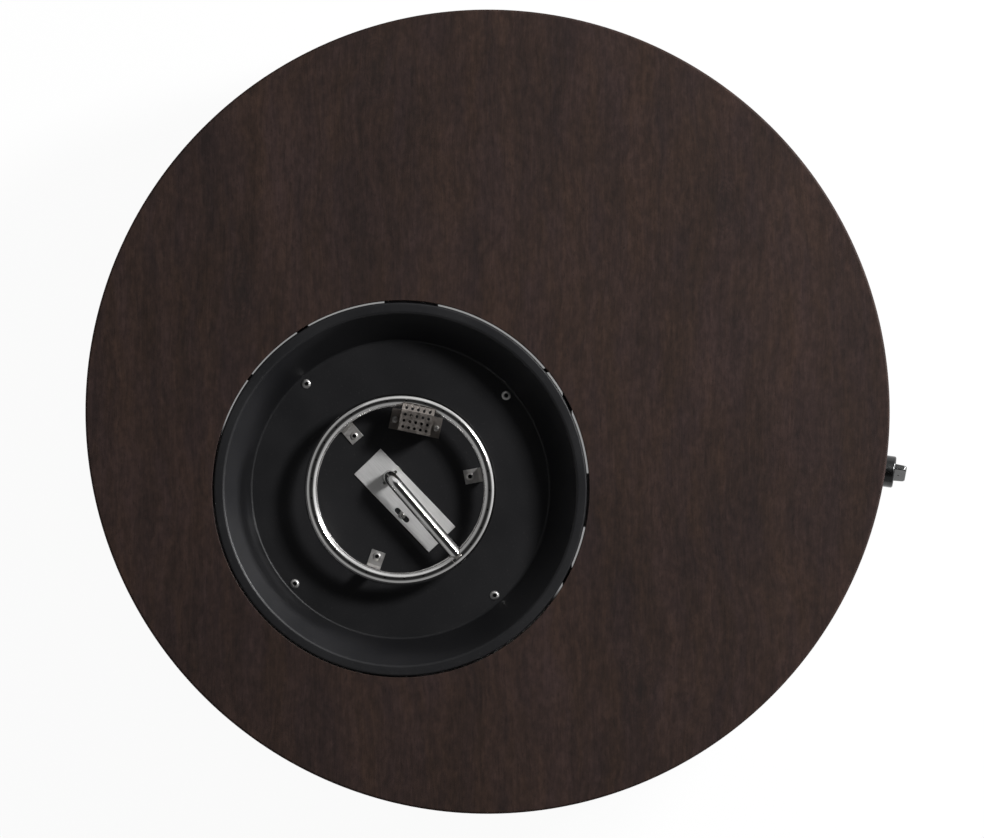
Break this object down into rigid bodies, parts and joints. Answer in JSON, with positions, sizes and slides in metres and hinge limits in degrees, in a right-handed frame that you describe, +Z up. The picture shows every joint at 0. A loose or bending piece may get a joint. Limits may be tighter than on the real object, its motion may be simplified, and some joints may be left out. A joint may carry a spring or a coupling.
{
  "type": "tabletop gas fire pit",
  "caption": "Low round gas fire table: wooden top, offset drop-in fire bowl with ring burner and igniter hood, steel drum, push-and-turn gas valve with bar knob.",
  "frame": {"origin": "on the ground, at the middle of the part's overall length and width", "axes": "+Z up, control knob towards -Y"},
  "size_m": [0.8639, 0.887, 0.28],
  "materials": {
    "wood_top": "satin",
    "black_drum": "satin",
    "black_bowl": "satin",
    "galvanised": "satin",
    "stainless": "satin",
    "stainless_polished": "polished",
    "black_screws": "satin",
    "zinc": "satin",
    "brass": "satin",
    "cast_alloy": "satin",
    "rubber": "matte",
    "ceramic": "gloss",
    "silicone": "matte",
    "black_plastic": "matte",
    "knob_metal": "satin",
    "pipe_metal": "satin"
  },
  "bodies": {
    "table": {"tabletop": "wood_top", "drum_wall": "black_drum", "top_screws": "zinc", "foot_1": "rubber", "foot_2": "rubber", "foot_3": "rubber", "foot_4": "rubber", "foot_5": "rubber", "foot_6": "rubber", "foot_screws": "zinc", "base_rail_front": "black_drum", "base_rail_rear": "black_drum", "rail_bolts": "zinc", "fire_bowl": "black_bowl", "bowl_bracket_1": "galvanised", "bowl_bracket_2": "galvanised", "bowl_bracket_3": "galvanised", "bowl_bracket_4": "galvanised", "bracket_screws": "zinc", "heat_shield": "galvanised", "floor_rivets": "black_screws", "ring_burner": "stainless_polished", "feed_tube": "stainless_polished", "ring_tab_1": "stainless", "ring_tab_2": "stainless", "ring_tab_3": "stainless", "tab_rivets": "stainless", "cover_plate": "stainless", "plate_screw": "stainless", "igniter_hood": "stainless", "hood_screws": "stainless", "electrode_ceramic": "ceramic", "electrode_rod": "stainless", "flame_sensor": "stainless", "mixer_elbow": "cast_alloy", "mixer_tube": "galvanised", "gas_jet": "brass", "jet_elbow": "brass", "valve_body": "cast_alloy", "inlet_fitting": "brass", "knob_bezel": "stainless", "neck_nut": "zinc", "neck_cap": "brass", "return_spring": "zinc", "piezo_igniter": "black_plastic", "electrode_boot": "silicone", "ignition_lead": "silicone", "sensor_lead": "pipe_metal", "gas_pipe": "pipe_metal", "pipe_nuts": "brass"},
    "plunger": {"push_collar": "brass"},
    "knob": {"valve_stem": "brass", "control_knob": "knob_metal"},
    "shutter": {"air_shutter": "galvanised"}
  },
  "joints": [
    {"name": "knob_push", "type": "slide", "parent": "table", "child": "plunger", "axis": [0, 1, 0], "range_m": [0, 0.003], "stiffness_N_per_m": 800, "springref_m": -0.005, "deforming": ["return_spring"]},
    {"name": "knob_turn", "type": "hinge", "parent": "plunger", "child": "knob", "pos_m": [0, -0.4125, 0.222], "axis": [0, -1, 0], "range_deg": [0, 180]},
    {"name": "air_shutter_turn", "type": "hinge", "parent": "table", "child": "shutter", "pos_m": [0.09354, 0.24871, 0.167], "axis": [0.7786, 0.6276, 0], "range_deg": [0, 45]}
  ]
}
